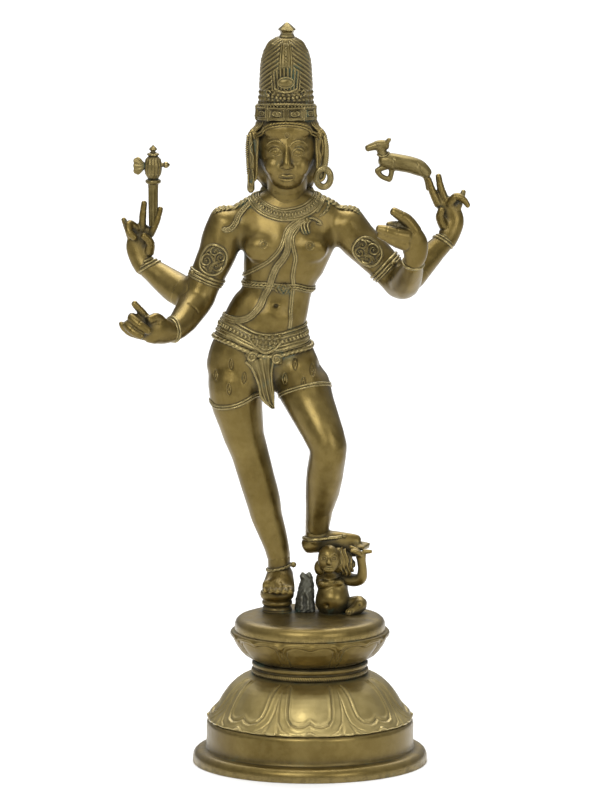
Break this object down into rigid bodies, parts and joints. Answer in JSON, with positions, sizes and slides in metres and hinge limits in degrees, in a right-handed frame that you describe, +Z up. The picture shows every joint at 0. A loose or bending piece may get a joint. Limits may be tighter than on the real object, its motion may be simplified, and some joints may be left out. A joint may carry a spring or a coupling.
{
  "type": "nataraja statue",
  "caption": "Cast brass temple statue of a four-armed crowned deity, one foot on a crouching dwarf, on a round lotus pedestal with a flanged base.",
  "frame": {"origin": "on the table, under the middle of the whole statue's bounding box; the pedestal's own axis is 15.5 mm towards +X", "axes": "+Z up from the table; -Y is the statue's front, towards a viewer who faces it; +X is to that viewer's right"},
  "size_m": [0.3498, 0.234, 0.7454],
  "materials": {
    "statue_brass": "aged olive-gold patina, satin cast skin with darker recesses",
    "ornament_brass": "aged and rubbed on the raised edges, dark in the engraved lines",
    "casting_skin": "rough dark grey-green as-cast skin",
    "fastener_brass": "plain machined brass, dulled"
  },
  "bodies": {
    "root": {"abdomen": "statue_brass", "axe": "ornament_brass", "belt_clasp": "ornament_brass", "casting_strut": "casting_skin", "chest_belt": "ornament_brass", "collar": "ornament_brass", "crown": "statue_brass", "crown_finial": "statue_brass", "crown_medallion": "ornament_brass", "deck_plate": "statue_brass", "deer": "ornament_brass", "diadem": "ornament_brass", "dwarf_arm": "statue_brass", "dwarf_body": "statue_brass", "dwarf_head": "statue_brass", "dwarf_leg": "statue_brass", "foot_plinth": "statue_brass", "head": "statue_brass", "hips": "statue_brass", "left_anklet": "ornament_brass", "left_armlet": "ornament_brass", "left_earring": "ornament_brass", "left_foot": "statue_brass", "left_front_bangle": "ornament_brass", "left_front_forearm": "statue_brass", "left_front_hand": "statue_brass", "left_hem": "ornament_brass", "left_leg": "statue_brass", "left_rear_bangle": "ornament_brass", "left_rear_forearm": "statue_brass", "left_rear_hand": "statue_brass", "left_shoulder_lock": "ornament_brass", "loin_flap": "ornament_brass", "lower_hip_belt": "ornament_brass", "lower_lotus": "statue_brass", "pedestal_base": "statue_brass", "plinth_nut": "fastener_brass", "plinth_stud": "fastener_brass", "plinth_washer": "fastener_brass", "right_anklet": "ornament_brass", "right_armlet": "ornament_brass", "right_earring": "ornament_brass", "right_foot": "statue_brass", "right_front_bangle": "ornament_brass", "right_front_forearm": "statue_brass", "right_front_hand": "statue_brass", "right_hem": "ornament_brass", "right_leg": "statue_brass", "right_rear_bangle": "ornament_brass", "right_rear_forearm": "statue_brass", "right_rear_hand": "statue_brass", "right_shoulder_lock": "ornament_brass", "sacred_thread": "ornament_brass", "shoulder_tassel": "ornament_brass", "torso": "statue_brass", "upper_hip_belt": "ornament_brass", "upper_lotus": "statue_brass", "waist_ring": "statue_brass"}
  },
  "joints": []
}
